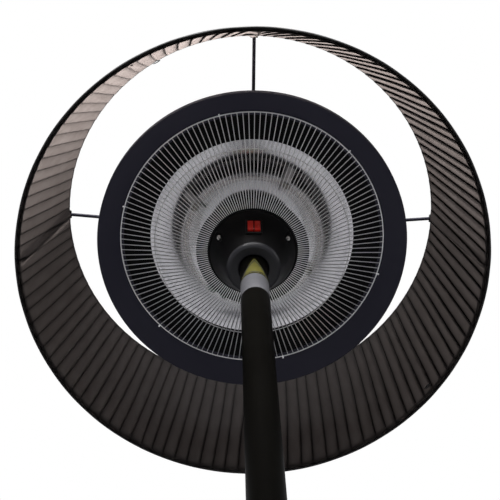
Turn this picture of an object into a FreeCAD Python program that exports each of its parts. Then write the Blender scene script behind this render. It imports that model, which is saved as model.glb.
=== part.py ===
"""Free-standing electric patio heater with a pleated lampshade round its head.

Millimetres, +Z up, origin on the ground on the pole's axis. The switch faces -Y.
Heights in the head are measured from the lowest edge of its rim.
"""
import FreeCAD, Part
import Sketcher
import math
import os

Vector = FreeCAD.Vector
UP = Vector(0, 0, 1)

# alias, value, what it is
SIZE_TABLE = (
    ("foot_radius", 18, "rubber foot"),
    ("foot_height", 6, "rubber foot"),
    ("foot_circle", 205, "radius that the feet stand on"),
    ("plate_radius", 235, "cast base plate"),
    ("plate_height", 14, "cast base plate"),
    ("cover_radius", 250, "pressed cover over the base plate"),
    ("cover_top", 36, "height of the cover at the pole"),
    ("cover_edge", 3, "height of the cover's lower edge"),
    ("flange_radius", 55, "flange that carries the pole"),
    ("flange_height", 6, "flange that carries the pole"),
    ("bolt_circle", 40, "radius that the flange bolts stand on"),
    ("bolt_radius", 4, "flange bolt's shank"),
    ("spigot_height", 70, "spigot inside the foot of the pole"),
    ("sheet_gauge", 1.5, "pressed steel"),
    ("thin_gauge", 1.2, "thin pressed steel"),
    ("pole_radius", 21, "outside of the pole"),
    ("pole_wall", 1.5, "wall of the pole"),
    ("lower_joint", 600, "height of the pole's lower joint"),
    ("upper_joint", 1150, "height of the pole's upper joint"),
    ("sleeve_length", 120, "sleeve inside each joint of the pole"),
    ("sleeve_wall", 1.8, "sleeve inside each joint of the pole"),
    ("gland_height", 130, "height of the cable gland"),
    ("cable_radius", 3.5, "supply cable"),
    ("cable_offset", 12, "supply cable, off the pole's axis"),
    ("rim_height", 1950, "ground to the lowest edge of the head's rim"),
    ("rim_radius", 250, "outside of the head"),
    ("rim_side", 14, "height of the rim's upright side"),
    ("guard_radius", 214, "outer ring of the wire guard"),
    ("guard_rise", 23.8, "outer ring of the guard, above the rim's edge"),
    ("guard_bend", 158, "radius at which the guard wires bend, at the middle ring"),
    ("guard_bend_rise", 8, "guard wires at the bend"),
    ("guard_inner", 72, "inner ends of the guard wires"),
    ("guard_drop", 29.8, "inner ends of the guard wires, below the rim's edge"),
    ("guard_wire", 0.75, "radius of a guard wire"),
    ("guard_ring", 1.2, "wire radius of the guard's rings"),
    ("wire_count", 144, "wires in the guard"),
    ("pan_radius", 168, "inner edge of the black pan"),
    ("pan_rise", 36, "inner edge of the black pan"),
    ("reflector_radius", 166.5, "mouth of the reflector"),
    ("reflector_rise", 48.4, "deepest ring of the reflector"),
    ("element_circle", 108, "radius of the heating ring"),
    ("element_radius", 5, "heating tube"),
    ("element_rise", 23, "heating ring above the rim's edge"),
    ("shell_rise", 70, "top of the head above the rim's edge"),
    ("plate_disc", 90, "radius of the mounting plate"),
    ("plate_drop", 29, "underside of the mounting plate below the rim's edge"),
    ("stem_radius", 7, "hollow centre stem"),
    ("stem_rise", 95, "top of the stem above the rim's edge"),
    ("housing_radius", 70, "wide end of the switch housing"),
    ("housing_top", 37, "wide end of the housing's cone below the rim's edge"),
    ("housing_drop", 110, "narrow end of the housing below the rim's edge"),
    ("housing_mouth", 39.5, "narrow end of the housing's cone"),
    ("housing_wall", 2.5, "wall of the switch housing"),
    ("collar_bore", 23, "bore of the collar round the pole"),
    ("pole_top", 58, "top of the pole below the rim's edge"),
    ("switch_drop", 72, "middle of the switch below the rim's edge"),
    ("bezel_width", 25, "switch bezel"),
    ("bezel_length", 33, "switch bezel"),
    ("rocker_width", 9.0, "one rocker"),
    ("rocker_length", 24.4, "one rocker"),
    ("rocker_tilt", 8, "rocker's tilt at rest, degrees"),
    ("hub_radius", 26, "hub of the shade"),
    ("hub_rise", 76.3, "underside of the shade's hub"),
    ("hub_height", 10, "hub of the shade"),
    ("shade_top", 317.5, "inside of the shade's upper edge"),
    ("shade_rise", 151, "upper edge of the shade above the rim's edge"),
    ("shade_bottom", 365.5, "inside of the shade's lower edge"),
    ("shade_drop", 91, "lower edge of the shade below the rim's edge"),
    ("shade_fold", 4, "depth of the folded fabric"),
    ("hoop_wire", 2.5, "wire radius of the shade's hoops"),
    ("spoke_wire", 2.8, "radius of a shade spoke"),
    ("knob_radius", 17, "knob that holds the shade down"),
)


class Size:
    """A length that knows its value and the spreadsheet expression that it comes from."""

    def __init__(self, value, text):
        self.value = value
        self.text = text

    def __add__(self, other):
        other = as_size(other)
        return Size(self.value + other.value, f"({self.text} + {other.text})")

    def __sub__(self, other):
        other = as_size(other)
        return Size(self.value - other.value, f"({self.text} - {other.text})")

    def __mul__(self, other):
        other = as_size(other)
        return Size(self.value * other.value, f"({self.text} * {other.text})")

    def __truediv__(self, other):
        other = as_size(other)
        return Size(self.value / other.value, f"({self.text} / {other.text})")

    def __neg__(self):
        return as_size(0) - self

    def __radd__(self, other):
        return as_size(other) + self

    def __rsub__(self, other):
        return as_size(other) - self

    __rmul__ = __mul__


def as_size(item):
    if isinstance(item, Size):
        return item
    return Size(float(item), f"({float(item):.6f})")


def make_sheet():
    """The driving dimensions as a spreadsheet, and each of them as a Size."""
    sheet = doc.addObject("Spreadsheet::Sheet", "Sizes")
    found = {}
    for row, (alias, value, note) in enumerate(SIZE_TABLE, start=1):
        sheet.set(f"A{row}", alias)
        sheet.set(f"B{row}", str(value))
        sheet.set(f"C{row}", note)
        sheet.setAlias(f"B{row}", alias)
        found[alias] = Size(float(value), f"Sizes.{alias}")
    doc.recompute()
    return found


doc = FreeCAD.newDocument("PatioHeater")
size = make_sheet()
rim = size["rim_height"]
nodes = []


# ---- helpers -------------------------------------------------------------------------------

def add(kind, label, **properties):
    """A document object with its properties bound to the sheet."""
    thing = doc.addObject(kind, label)
    for name, value in properties.items():
        thing.setExpression(name, as_size(value).text)
    return thing


def put(thing, x=0, y=0, z=0, rotation=None):
    """Move an object: its position is bound to the sheet, its rotation is set."""
    spots = [as_size(item) for item in (x, y, z)]
    base = Vector(*[spot.value for spot in spots])
    thing.Placement = FreeCAD.Placement(base, rotation or FreeCAD.Rotation())
    for axis, spot in zip("xyz", spots):
        thing.setExpression(f"Placement.Base.{axis}", spot.text)
    return thing


def node(label, thing):
    """Register an object as a piece of the heater."""
    thing.Label = label
    nodes.append(thing)
    return thing


def rod(label, radius, low, high, x=0, y=0):
    """An upright cylinder between two heights."""
    return put(add("Part::Cylinder", label, Radius=radius, Height=high - low), x, y, low)


def box(label, wide, deep, tall, x, y, z):
    """A box from its middle in X and Y and its lowest height."""
    block = add("Part::Box", label, Length=wide, Width=deep, Height=tall)
    return put(block, x - as_size(wide) / 2, y - as_size(deep) / 2, z)


def cut(label, base, *tools):
    """Base less the tools."""
    result = doc.addObject("Part::Cut", label)
    result.Base = base
    result.Tool = tools[0] if len(tools) == 1 else fuse(label + "_tools", *tools)
    return result


def fuse(label, *pieces):
    result = doc.addObject("Part::MultiFuse", label)
    result.Shapes = list(pieces)
    return result


def group(label, pieces):
    """Separate solids in one piece list, such as a set of equal screws."""
    result = doc.addObject("Part::Compound", label)
    result.Links = list(pieces)
    return result


def tube(label, outer, inner, low, high, x=0, y=0):
    outside = rod(label + "_outside", outer, low, high, x, y)
    return cut(label, outside, rod(label + "_bore", inner, low - 1, high + 1, x, y))


def around(count, first=0):
    """Angles in degrees of count places evenly round the axis."""
    return [first + step * 360 / count for step in range(count)]


def polar(radius, degrees):
    """The X and Y of a place on a circle."""
    angle = math.radians(degrees)
    return radius * math.cos(angle), radius * math.sin(angle)


def spin(degrees):
    return FreeCAD.Rotation(UP, degrees)


class Through:
    """A point that the arc between its two neighbours passes through."""

    def __init__(self, radius, height):
        self.place = (as_size(radius), as_size(height))


def flat(place):
    return Vector(place[0].value, place[1].value, 0)


def bend(start, middle, end):
    """The arc through three points, and whether it runs from start to end counter-clockwise."""
    circle = Part.Circle(start, middle, end)
    turn = (middle - start).cross(end - middle).z
    first, last = (start, end) if turn > 0 else (end, start)
    angles = [math.atan2((point - circle.Center).y, (point - circle.Center).x) for point in (first, last)]
    if angles[1] <= angles[0]:
        angles[1] += 2 * math.pi
    plain = Part.Circle(circle.Center, UP, circle.Radius)
    return Part.ArcOfCircle(plain, *angles), turn > 0


def pin(sketch, geometry, point, place):
    """Hold one sketch point at a radius and a height, both bound to the sheet."""
    for kind, axis, value in (("DistanceX", -2, place[0]), ("DistanceY", -1, place[1])):
        if value.value == 0:
            sketch.addConstraint(Sketcher.Constraint("PointOnObject", geometry, point, axis))
            continue
        index = sketch.addConstraint(Sketcher.Constraint(kind, -1, 1, geometry, point, value.value))
        sketch.setExpression(f"Constraints[{index}]", value.text)


def draw(sketch, outline):
    """Draw a closed outline of (radius, height) corners, with arcs where a Through stands."""
    corners = []
    for item in outline:
        if isinstance(item, Through):
            corners[-1][1] = item
        else:
            corners.append([(as_size(item[0]), as_size(item[1])), None])
    ends = []
    for index, (place, through) in enumerate(corners):
        start = flat(place)
        end = flat(corners[(index + 1) % len(corners)][0])
        if through is None:
            ends.append((sketch.addGeometry(Part.LineSegment(start, end), False), 1, 2))
            continue
        arc, forward = bend(start, flat(through.place), end)
        geometry = sketch.addGeometry(arc, False)
        ends.append((geometry, 1, 2) if forward else (geometry, 2, 1))
        spot = sketch.addGeometry(Part.Point(flat(through.place)), True)
        sketch.addConstraint(Sketcher.Constraint("PointOnObject", spot, 1, geometry))
        pin(sketch, spot, 1, through.place)
    for index, (geometry, first, _) in enumerate(ends):
        before, _, last = ends[index - 1]
        sketch.addConstraint(Sketcher.Constraint("Coincident", before, last, geometry, first))
        pin(sketch, geometry, first, corners[index][0])


def outline_body(label, plane, outline):
    """A PartDesign body with one closed sketch on one of its origin planes."""
    body = doc.addObject("PartDesign::Body", label)
    sketch = body.newObject("Sketcher::SketchObject", label + "_outline")
    support = [item for item in body.Origin.OriginFeatures if item.Role == plane][0]
    sketch.AttachmentSupport = (support, [""])
    sketch.MapMode = "FlatFace"
    draw(sketch, outline)
    return body, sketch


def turned(label, outline):
    """A body turned about the upright axis from an outline of (radius, height) points."""
    body, sketch = outline_body(label, "XZ_Plane", outline)
    turn = body.newObject("PartDesign::Revolution", label + "_turn")
    turn.Profile = sketch
    turn.ReferenceAxis = (sketch, ["V_Axis"])
    turn.Angle = 360
    return body


def path(points, radius):
    """Straight runs between points, joined by tangent arcs of one radius."""
    points = [Vector(*point) for point in points]
    edges = []
    here = points[0]
    for before, corner, after in zip(points, points[1:], points[2:]):
        back = (before - corner).normalize()
        ahead = (after - corner).normalize()
        half = back.getAngle(ahead) / 2
        trim = radius / math.tan(half)
        start = corner + back * trim
        end = corner + ahead * trim
        centre = corner + (back + ahead).normalize() * (radius / math.sin(half))
        middle = centre + (corner - centre).normalize() * radius
        edges.append(Part.LineSegment(here, start).toShape())
        edges.append(Part.Arc(start, middle, end).toShape())
        here = end
    edges.append(Part.LineSegment(here, points[-1]).toShape())
    return Part.Wire(edges)


def swept(points, radius, thickness):
    """A round bar of a given radius along a path."""
    spine = path(points, radius)
    heading = Vector(*points[1]) - Vector(*points[0])
    profile = Part.Wire([Part.makeCircle(thickness, Vector(*points[0]), heading)])
    return spine.makePipeShell([profile], True, False)


def feature(label, shape):
    """A plain shape, for what neither a body nor a primitive makes."""
    thing = doc.addObject("Part::Feature", label)
    thing.Shape = shape
    return thing


# ---- base ----------------------------------------------------------------------------------

plate_low = size["foot_height"]
plate_high = plate_low + size["plate_height"]
flange_high = plate_high + size["flange_height"]
BOLT_COUNT = 4
FOOT_COUNT = 6
BOLT_HEAD = 6.5
BOLT_HEAD_HEIGHT = 5.3
SPIGOT_WALL = 2.8
flange_step = size["flange_radius"] + 15
COVER_SKIRT = 16
COLLAR_RISE = 11


def make_base():
    feet = []
    for index, angle in enumerate(around(FOOT_COUNT)):
        x, y = polar(size["foot_circle"], angle)
        feet.append(rod(f"foot_{index}", size["foot_radius"], as_size(0), plate_low, x, y))
    node("rubber_feet", group("feet", feet))

    bolts = []
    holes = []
    for index, angle in enumerate(around(BOLT_COUNT, 45)):
        x, y = polar(size["bolt_circle"], angle)
        head = put(add("Part::Prism", f"bolt_head_{index}", Circumradius=BOLT_HEAD, Height=BOLT_HEAD_HEIGHT),
                   x, y, flange_high)
        shank = rod(f"bolt_shank_{index}", size["bolt_radius"], plate_low + 2, flange_high, x, y)
        bolts.append(fuse(f"bolt_{index}", head, shank))
        holes.append(rod(f"bolt_hole_{index}", size["bolt_radius"], plate_low + 2, flange_high + 1, x, y))
    node("flange_bolts", group("bolts", bolts))
    plate = rod("plate_blank", size["plate_radius"], plate_low, plate_high)
    node("base_plate", cut("plate", plate, *holes))

    spigot = size["pole_radius"] - size["pole_wall"] - 0.2
    flange = turned("flange_blank", [
        (spigot - SPIGOT_WALL, plate_high), (size["flange_radius"], plate_high),
        (size["flange_radius"], flange_high), (spigot, flange_high),
        (spigot, flange_high + size["spigot_height"]),
        (spigot - SPIGOT_WALL, flange_high + size["spigot_height"])])
    node("pole_flange", cut("flange", flange, *holes))


def make_base_cover():
    gauge = size["sheet_gauge"]
    edge = size["cover_edge"]
    top = size["cover_top"]
    outer = size["cover_radius"]
    collar = size["pole_radius"] + 0.3
    skirt = COVER_SKIRT
    cover = turned("cover", [
        (outer - gauge, edge), (outer, edge), (outer, edge + skirt), Through(outer - 2.5, edge + skirt + 6),
        (outer - 9, edge + skirt + 9), (outer - 110, top - 2), (flange_step, top), (collar, top),
        (collar, top - gauge), (flange_step, top - gauge), (outer - 110, top - 2 - gauge),
        (outer - 9, edge + skirt + 9 - gauge), Through(outer - 3.6, edge + skirt + 4.9),
        (outer - gauge, edge + skirt)])
    node("base_cover", cover)
    high = top + COLLAR_RISE
    trim = turned("trim", [
        (collar, top), (collar + 13, top), (collar + 13, top + 4), Through(collar + 9, top + 8.4),
        (collar + 4, high), (collar, high)])
    node("base_collar", trim)



# ---- pole ----------------------------------------------------------------------------------

pole_inner = size["pole_radius"] - size["pole_wall"]
pole_high = rim - size["pole_top"]
SCREW_RADIUS = 2.4
SCREW_DEPTH = 4.5
SCREW_REACH = 22
GLAND_THREAD = 6.0
GLAND_BORE = 3.9
CABLE_TURN = 26
TERMINAL_DROP = 50
TERMINAL_HEIGHT = 12
BEHIND = FreeCAD.Rotation(Vector(1, 0, 0), -90)


def behind(label, radius, start, length, height):
    """A cylinder that points backwards, along +Y."""
    return put(add("Part::Cylinder", label, Radius=radius, Height=length), 0, start, height, BEHIND)


def make_pole():
    joints = {"lower": size["lower_joint"], "upper": size["upper_joint"]}
    sleeves = []
    screws = []
    holes = []
    for name, joint in joints.items():
        half = size["sleeve_length"] / 2
        sleeve = tube(f"{name}_sleeve_blank", pole_inner, pole_inner - size["sleeve_wall"],
                      joint - half, joint + half)
        bores = []
        for side in (-1, 1):
            height = joint + half * side / 2
            tag = f"{name}_{'above' if side > 0 else 'below'}"
            head = behind(f"head_{tag}", SCREW_RADIUS * 1.7, size["pole_radius"] - 0.2, 2, height)
            shank = behind(f"shank_{tag}", SCREW_RADIUS, size["pole_radius"] - SCREW_DEPTH, SCREW_DEPTH, height)
            screws.append(fuse(f"screw_{tag}", head, shank))
            bores.append(behind(f"bore_{tag}", SCREW_RADIUS, 0, SCREW_REACH, height))
            holes.append(behind(f"hole_{tag}", SCREW_RADIUS * 1.7, size["pole_radius"] - 0.2, 2, height))
        sleeves.append(cut(f"{name}_sleeve", sleeve, *bores))
        holes.extend(bores)
    node("pole_sleeves", group("sleeves", sleeves))
    node("pole_screws", group("screws", screws))

    gland_hole = behind("gland_hole", GLAND_THREAD, 0, SCREW_REACH + 2, size["gland_height"])
    spans = {"lower_pole": (flange_high, joints["lower"]), "middle_pole": (joints["lower"], joints["upper"]),
             "upper_pole": (joints["upper"], pole_high)}
    for name, (low, high) in spans.items():
        section = tube(name + "_blank", size["pole_radius"], pole_inner, low, high)
        near = [hole for hole in holes if low.value < hole.Placement.Base.z < high.value]
        extra = [gland_hole] if name == "lower_pole" else []
        node(name, cut(name + "_section", section, *near, *extra))



def make_gland():
    """A cable gland through the back of the pole's foot."""
    height = size["gland_height"]
    face = size["pole_radius"]
    thread = behind("gland_thread", GLAND_THREAD, face - 5, 8, height)
    seat = put(add("Part::Prism", "gland_hexagon", Circumradius=10.5, Height=4), 0, face + 0.6, height, BEHIND)
    dome = add("Part::Cone", "gland_dome", Radius1=8.6, Radius2=6.4, Height=12)
    put(dome, 0, face + 4.6, height, BEHIND)
    bore = behind("gland_bore", GLAND_BORE, 0, face + 40, height)
    node("cable_gland", cut("gland", fuse("gland_solid", thread, seat, dome), bore))


def make_supply_cable():
    """The cable that the pole holds all the way, from the gland to the terminal block."""
    height = size["gland_height"].value
    offset = size["cable_offset"].value
    top = (rim - TERMINAL_DROP).value
    points = ((0, size["pole_radius"].value - 5, height), (0, -offset, height), (0, -offset, top))
    node("supply_cable", feature("cable", swept(points, CABLE_TURN, size["cable_radius"].value)))



# ---- marks on the pole ---------------------------------------------------------------------

MARK_THICKNESS = 0.25
BAND_TOP = 181
BAND_LOW = 236
STICKER_TOP = 121
STICKER_LOW = 178
STICKER_HALF = 19.5


def make_marks():
    """A plain rating band round the pole and a plain triangular sticker above it."""
    face = size["pole_radius"]
    node("label_band", tube("band", face + MARK_THICKNESS, face, rim - BAND_LOW, rim - BAND_TOP))
    skin = tube("sticker_skin", face + MARK_THICKNESS, face, rim - STICKER_LOW - 1, rim - STICKER_TOP + 1)
    low = rim - STICKER_LOW
    high = rim - STICKER_TOP
    body, sketch = outline_body("sticker_wedge", "XZ_Plane", [
        (as_size(60) - STICKER_HALF, low), (as_size(60) + STICKER_HALF, low),
        (as_size(61.2), high), (as_size(58.8), high)])
    pad = body.newObject("PartDesign::Pad", "sticker_pad")
    pad.Profile = sketch
    pad.setExpression("Length", (face + 5).text)
    body.Placement = FreeCAD.Placement(Vector(-60, 0, 0), FreeCAD.Rotation())
    common = doc.addObject("Part::MultiCommon", "sticker")
    common.Shapes = [skin, body]
    node("warning_sticker", common)


# ---- switch housing ------------------------------------------------------------------------

slope_run = size["housing_drop"] - size["housing_top"]
slope_fall = size["housing_radius"] - size["housing_mouth"]
slope_rate = slope_fall / slope_run
SLOPE_ANGLE = 90 + math.degrees(math.atan2(slope_fall.value, slope_run.value))
switch_radius = size["housing_radius"] - (size["switch_drop"] - size["housing_top"]) * slope_rate
switch_place = Vector(0, -switch_radius.value, (rim - size["switch_drop"]).value)
SLOPE = FreeCAD.Rotation(Vector(1, 0, 0), SLOPE_ANGLE)
SLOPE_FRAME = FreeCAD.Placement(switch_place, SLOPE)
SEAT_DEPTH = 1.4
SCREW_CIRCLE = 62
SCREW_SEAT = 52.5
HOUSING_SCREW_ANGLES = (90, -30, -150)
SCREW_HEAD = 3.8
SCREW_SHANK = 1.7
POST_RADIUS = 6.2
LEDGE = 6
PLATE_GAUGE = 2
LEAD_HOLE = 1.8
# places where the element's two leads come down to the terminal block
LEAD_DROPS = ((-20, -13), (-12, -17))
CASE_WIDTH = 21.8
CASE_LENGTH = 27.8
CASE_DEPTH = 19
ROOM_WIDTH = 20.6
BEZEL_RISE = 2.2
AXLE_DEPTH = 4.0
AXLE_RADIUS = 1.25
ROCKER_GAP = 0.9


def on_slope(label, wide, long, thick, x=0.0, z=0.0, y=0.0):
    """A box that lies on the cone at the switch: X across, Y up the slope, Z outwards."""
    block = add("Part::Box", label, Length=wide, Width=long, Height=thick)
    corner = Vector(x - as_size(wide).value / 2, y - as_size(long).value / 2, z)
    block.Placement = SLOPE_FRAME.multiply(FreeCAD.Placement(corner, FreeCAD.Rotation()))
    return block


def make_housing():
    wall = size["housing_wall"]
    wide = size["housing_radius"]
    top = rim - size["housing_top"]
    skirt = rim - size["plate_drop"]
    low = rim - size["housing_drop"]
    mouth = size["housing_mouth"]
    ledge = low + LEDGE
    at_ledge = mouth + slope_rate * LEDGE
    shell = turned("housing_shell", [
        (wide - 2, top), Through(wide - 0.3, top + 0.9), (wide + 0.6, top + 2.4), (wide + 0.6, skirt),
        (wide - wall, skirt), (wide - wall, top + 1), (at_ledge - wall, ledge + 1), (at_ledge - wall, ledge),
        (at_ledge, ledge)])
    posts = []
    seats = []
    shanks = []
    screws = []
    for index, angle in enumerate(HOUSING_SCREW_ANGLES):
        x, y = polar(as_size(SCREW_CIRCLE), angle)
        seat = rim - SCREW_SEAT
        posts.append(rod(f"post_{index}", POST_RADIUS, seat - 4, skirt, x, y))
        seats.append(rod(f"seat_{index}", SCREW_HEAD + 0.4, low, seat, x, y))
        shanks.append(rod(f"housing_shank_{index}", SCREW_SHANK, seat, skirt + PLATE_GAUGE, x, y))
        head = rod(f"housing_head_{index}", SCREW_HEAD, seat - 2.4, seat, x, y)
        screws.append(fuse(f"housing_screw_{index}", head, shanks[-1]))
    outside = put(add("Part::Cone", "housing_envelope", Radius1=mouth, Radius2=wide, Height=top - low), z=low)
    above = rod("housing_envelope_top", wide, top, skirt)
    inside = doc.addObject("Part::MultiCommon", "posts_inside")
    inside.Shapes = [fuse("posts", *posts), fuse("housing_bounds", outside, above)]
    solid = fuse("housing_solid", shell, inside)
    seat_cut = on_slope("switch_seat", size["bezel_width"] + 0.4, size["bezel_length"] + 0.4, 8, z=-SEAT_DEPTH)
    window = on_slope("switch_window", CASE_WIDTH + 0.4, CASE_LENGTH + 0.4, 16, z=-8)
    tools = seats + shanks + [seat_cut, window]
    node("switch_housing", cut("housing", solid, *tools))
    node("housing_screws", group("housing_screw_set", screws))

    bore = size["collar_bore"]
    collar = turned("collar", [
        (bore, low + 1.6), Through(bore + 0.5, low + 0.5), (bore + 1.6, low),
        (mouth - 4, low), Through(mouth - 0.6, low + 1.6), (at_ledge, ledge), (bore, ledge)])
    node("housing_collar", collar)



def make_mounting_plate():
    low = rim - size["plate_drop"]
    disc = rod("disc_blank", size["plate_disc"], low, low + PLATE_GAUGE)
    holes = [rod("disc_centre", size["stem_radius"], low - 1, low + 3)]
    for index, angle in enumerate(HOUSING_SCREW_ANGLES):
        x, y = polar(as_size(SCREW_CIRCLE), angle)
        holes.append(rod(f"disc_hole_{index}", SCREW_SHANK, low - 1, low + 3, x, y))
    for index, (x, y) in enumerate(LEAD_DROPS):
        holes.append(rod(f"disc_lead_{index}", LEAD_HOLE, low - 1, low + 3, as_size(x), as_size(y)))
    node("mounting_plate", cut("disc", disc, *holes))



def make_switch():
    width = size["bezel_width"]
    length = size["bezel_length"]
    frame = on_slope("bezel_blank", width, length, SEAT_DEPTH + BEZEL_RISE, z=-SEAT_DEPTH)
    rounded = doc.addObject("Part::Fillet", "bezel_rounded")
    rounded.Base = frame
    doc.recompute()
    edges = [number for number, edge in enumerate(frame.Shape.Edges, start=1) if on_top(edge, BEZEL_RISE)]
    rounded.Edges = [(number, 1.2, 1.2) for number in edges]
    opening = on_slope("bezel_opening", ROOM_WIDTH, 27, 10, z=-5)
    node("switch_bezel", cut("bezel", rounded, opening))

    body = on_slope("switch_blank", CASE_WIDTH, CASE_LENGTH, CASE_DEPTH, z=-SEAT_DEPTH - CASE_DEPTH)
    room = on_slope("switch_room", ROOM_WIDTH, CASE_LENGTH - 1.2, 13, z=-SEAT_DEPTH - 12)
    axle_spot = Vector(-CASE_WIDTH / 2, 0, -AXLE_DEPTH)
    axle = slope_axle("rocker_axle", AXLE_RADIUS, CASE_WIDTH, axle_spot)
    node("rocker_pin", axle)
    hole = slope_axle("axle_hole", AXLE_RADIUS, CASE_WIDTH, axle_spot)
    node("switch_body", cut("switch_case", body, room, hole))
    for name, side in (("rocker_left", -1), ("rocker_right", 1)):
        node(name, make_rocker(name, side))



def slope_axle(label, radius, length, spot):
    """A cylinder across the slope, from one spot in the slope's frame."""
    across = FreeCAD.Placement(spot, FreeCAD.Rotation(Vector(0, 1, 0), 90))
    bar = add("Part::Cylinder", label, Radius=radius, Height=length)
    bar.Placement = SLOPE_FRAME.multiply(across)
    return bar


def on_top(edge, height):
    """Whether both ends of an edge lie at one height above the slope."""
    back = SLOPE_FRAME.inverse()
    return all(abs(back.multVec(corner.Point).z - height) < 0.01 for corner in edge.Vertexes)


def make_rocker(label, side):
    """One rocker: a dished key with a bore for the pin, tilted to its off position."""
    half = size["rocker_length"] / 2
    shift = 60
    body, sketch = outline_body(label + "_key", "XY_Plane", [
        (shift - half, shift + 3.4), (shift - 4, shift - 3.6), Through(as_size(shift), as_size(shift - 4.6)),
        (shift + as_size(4), as_size(shift - 3.6)), (shift + half, as_size(shift + 3.4)),
        (shift + half, as_size(shift + 7.0)), Through(as_size(shift), as_size(shift + 5.3)),
        (shift - half, as_size(shift + 7.0))])
    pad = body.newObject("PartDesign::Pad", label + "_pad")
    pad.Profile = sketch
    pad.setExpression("Length", size["rocker_width"].text)
    bore = add("Part::Cylinder", label + "_bore", Radius=AXLE_RADIUS + 0.05, Height=size["rocker_width"] + 2)
    bore.Placement = FreeCAD.Placement(Vector(shift, shift, -1), FreeCAD.Rotation())
    key = cut(label + "_bored", body, bore)
    # the key's drawing plane becomes the slope's Y and Z, and its thickness runs along X
    stand = FreeCAD.Placement(Vector(0, 0, 0), FreeCAD.Rotation(Vector(1, 1, 1), 120))
    centre = FreeCAD.Placement(Vector(-shift, -shift, 0), FreeCAD.Rotation())
    start = ROCKER_GAP if side > 0 else -ROCKER_GAP - size["rocker_width"].value
    spot = FreeCAD.Placement(Vector(start, 0, -AXLE_DEPTH), FreeCAD.Rotation())
    tilt = FreeCAD.Placement(Vector(0, 0, 0), FreeCAD.Rotation(Vector(1, 0, 0), -size["rocker_tilt"].value))
    key.Placement = SLOPE_FRAME.multiply(spot).multiply(tilt).multiply(stand).multiply(centre)
    return key


# ---- inside the housing --------------------------------------------------------------------

SOCKET_GAUGE = 4
SOCKET_FLANGE = 34
SOCKET_DEPTH = 38
NUT_HEIGHT = 5.5
ELEMENT_GAP = 12
ELEMENT_GAP_MIDDLE = 120
ELEMENT_TOP = 61.8
LEAD_RADIUS = 1.2
LEAD_CAVITY = 63
LEAD_TURN = 8


def make_core():
    pole = size["pole_radius"]
    top = pole_high
    socket = turned("socket_blank", [
        (pole, top - SOCKET_DEPTH), (pole + 1.6, top - SOCKET_DEPTH), (pole + 1.6, top),
        (as_size(SOCKET_FLANGE), top), (as_size(SOCKET_FLANGE), top + SOCKET_GAUGE),
        (size["stem_radius"], top + SOCKET_GAUGE),
        (size["stem_radius"], top), (pole, top)])
    way = rod("socket_way", size["cable_radius"] + 0.3, top - 1, top + SOCKET_GAUGE + 1, 0, -size["cable_offset"])
    node("pole_socket", cut("socket", socket, way))

    stem_low = top
    stem_high = rim + size["stem_rise"]
    stem = size["stem_radius"]
    node("centre_stem", tube("stem", stem, stem - 2, stem_low, stem_high))

    nuts = []
    plate = rim - size["plate_drop"]
    shell = rim + size["shell_rise"]
    spots = {"plate": plate - NUT_HEIGHT, "below": shell - size["thin_gauge"] - NUT_HEIGHT, "above": shell}
    for name, low in spots.items():
        blank = put(add("Part::Prism", f"nut_blank_{name}", Circumradius=12, Height=NUT_HEIGHT), z=low)
        nuts.append(cut(f"nut_{name}", blank, rod(f"nut_bore_{name}", stem, low - 1, low + 7)))
    node("stem_nuts", group("nuts", nuts))


def make_electrics():
    plate = rim - size["plate_drop"]
    block = box("block", 30, 12, TERMINAL_HEIGHT, as_size(-8), as_size(-16), rim - TERMINAL_DROP)
    node("terminal_block", block)
    node("tip_over_switch", box("tip_switch", 20, 14, 16, as_size(32), as_size(19), plate - 16))
    node("thermal_cutout", rod("cutout", 8.5, plate - 6, plate, as_size(-30), as_size(25)))
    leads = []
    block_top = (rim - TERMINAL_DROP + TERMINAL_HEIGHT).value
    cavity = (rim + LEAD_CAVITY).value
    for angle, (x, y) in zip(element_ends(), LEAD_DROPS):
        start = polar(size["element_circle"].value, angle)
        points = ((x, y, block_top), (x, y, cavity), (start[0], start[1], cavity))
        leads.append(swept(points, LEAD_TURN, LEAD_RADIUS))
    node("lead_wires", feature("leads", Part.makeCompound(leads)))


# ---- heater --------------------------------------------------------------------------------

HOLDER_ANGLES = (210, 300, 30)
CAP_LOW = 34
CAP_HIGH = 44


def element_ends():
    """Angles of the two ends of the heating ring."""
    return (ELEMENT_GAP_MIDDLE + ELEMENT_GAP / 2, ELEMENT_GAP_MIDDLE - ELEMENT_GAP / 2)


def make_element():
    circle = size["element_circle"]
    radius = size["element_radius"]
    height = rim + size["element_rise"]
    ring = add("Part::Torus", "element_ring", Radius1=circle, Radius2=radius, Angle3=360 - ELEMENT_GAP)
    put(ring, z=height, rotation=spin(ELEMENT_GAP_MIDDLE + ELEMENT_GAP / 2))
    pieces = [ring]
    caps = []
    for index, angle in enumerate(element_ends()):
        x, y = polar(circle, angle)
        pieces.append(put(add("Part::Sphere", f"element_elbow_{index}", Radius=radius + 0.15), x, y, height))
        pieces.append(rod(f"element_riser_{index}", radius, height, rim + ELEMENT_TOP, x, y))
        caps.append(tube(f"cap_{index}", radius + 3, radius, rim + CAP_LOW, rim + CAP_HIGH, x, y))
    node("heating_element", fuse("element", *pieces))
    node("element_end_caps", group("caps", caps))
    holders = []
    for index, angle in enumerate(HOLDER_ANGLES):
        x, y = polar(circle, angle)
        post = rod(f"holder_post_{index}", radius + 1.5, height, rim + size["reflector_rise"] - 0.7, x, y)
        saddle = put(add("Part::Torus", f"holder_saddle_{index}", Radius1=circle, Radius2=radius), z=height)
        holders.append(cut(f"holder_{index}", post, saddle))
    node("element_holders", group("holders", holders))


CHANNEL_HALF = 16
CHANNEL_SIDE = 3.1
CHANNEL_FOOT = 66
DISH_EYE = 34
DISH_FLAT = 44
DISH_GAUGE = 1


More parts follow.
